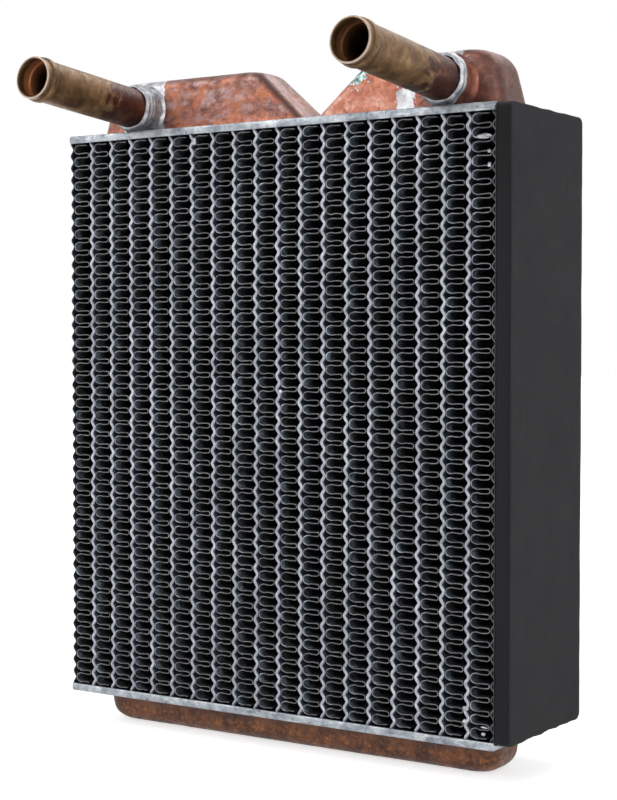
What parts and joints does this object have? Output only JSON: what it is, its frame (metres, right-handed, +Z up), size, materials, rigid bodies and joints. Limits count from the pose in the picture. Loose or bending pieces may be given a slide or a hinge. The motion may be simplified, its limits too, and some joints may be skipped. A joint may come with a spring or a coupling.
{
  "type": "car heater radiator",
  "caption": "Copper and brass car heater core: wavy flat water tubes with folded air fins, end tanks, two beaded hose pipes and a foam side pad.",
  "frame": {"origin": "middle of the flat underside of the bottom tank", "axes": "+Z up along the water tubes, -Y towards the air face and the hose pipes' mouths, +X towards the foam side pad"},
  "size_m": [0.2022, 0.1148, 0.2656],
  "materials": {
    "tube_brass": "dull blue-grey tinned brass",
    "fin_copper": "dark lacquered copper foil",
    "tinned_plate": "mottled tinned brass",
    "tank_copper": "heat-stained pressed copper",
    "pipe_brass": "aged brass, heat-stained at the foot",
    "solder": "soft solder, satin",
    "adhesive": "thin adhesive film",
    "foam": "matt closed-cell foam"
  },
  "bodies": {
    "root": {"bottom_header_plate": "tinned_plate", "bottom_tank": "tank_copper", "bottom_tank_solder": "solder", "fin_ribbon_01": "fin_copper", "fin_ribbon_02": "fin_copper", "fin_ribbon_03": "fin_copper", "fin_ribbon_04": "fin_copper", "fin_ribbon_05": "fin_copper", "fin_ribbon_06": "fin_copper", "fin_ribbon_07": "fin_copper", "fin_ribbon_08": "fin_copper", "fin_ribbon_09": "fin_copper", "fin_ribbon_10": "fin_copper", "fin_ribbon_11": "fin_copper", "fin_ribbon_12": "fin_copper", "fin_ribbon_13": "fin_copper", "fin_ribbon_14": "fin_copper", "fin_ribbon_15": "fin_copper", "fin_ribbon_16": "fin_copper", "fin_ribbon_17": "fin_copper", "fin_ribbon_18": "fin_copper", "fin_ribbon_19": "fin_copper", "foam_adhesive_film": "adhesive", "foam_side_pad": "foam", "left_hose_pipe": "pipe_brass", "left_pipe_solder": "solder", "left_side_strip": "tube_brass", "left_tank_solder": "solder", "left_top_tank": "tank_copper", "right_hose_pipe": "pipe_brass", "right_pipe_solder": "solder", "right_side_strip": "tube_brass", "right_tank_solder": "solder", "right_top_tank": "tank_copper", "top_header_plate": "tinned_plate", "water_tube_01": "tube_brass", "water_tube_02": "tube_brass", "water_tube_03": "tube_brass", "water_tube_04": "tube_brass", "water_tube_05": "tube_brass", "water_tube_06": "tube_brass", "water_tube_07": "tube_brass", "water_tube_08": "tube_brass", "water_tube_09": "tube_brass", "water_tube_10": "tube_brass", "water_tube_11": "tube_brass", "water_tube_12": "tube_brass", "water_tube_13": "tube_brass", "water_tube_14": "tube_brass", "water_tube_15": "tube_brass", "water_tube_16": "tube_brass", "water_tube_17": "tube_brass", "water_tube_18": "tube_brass"}
  },
  "joints": []
}
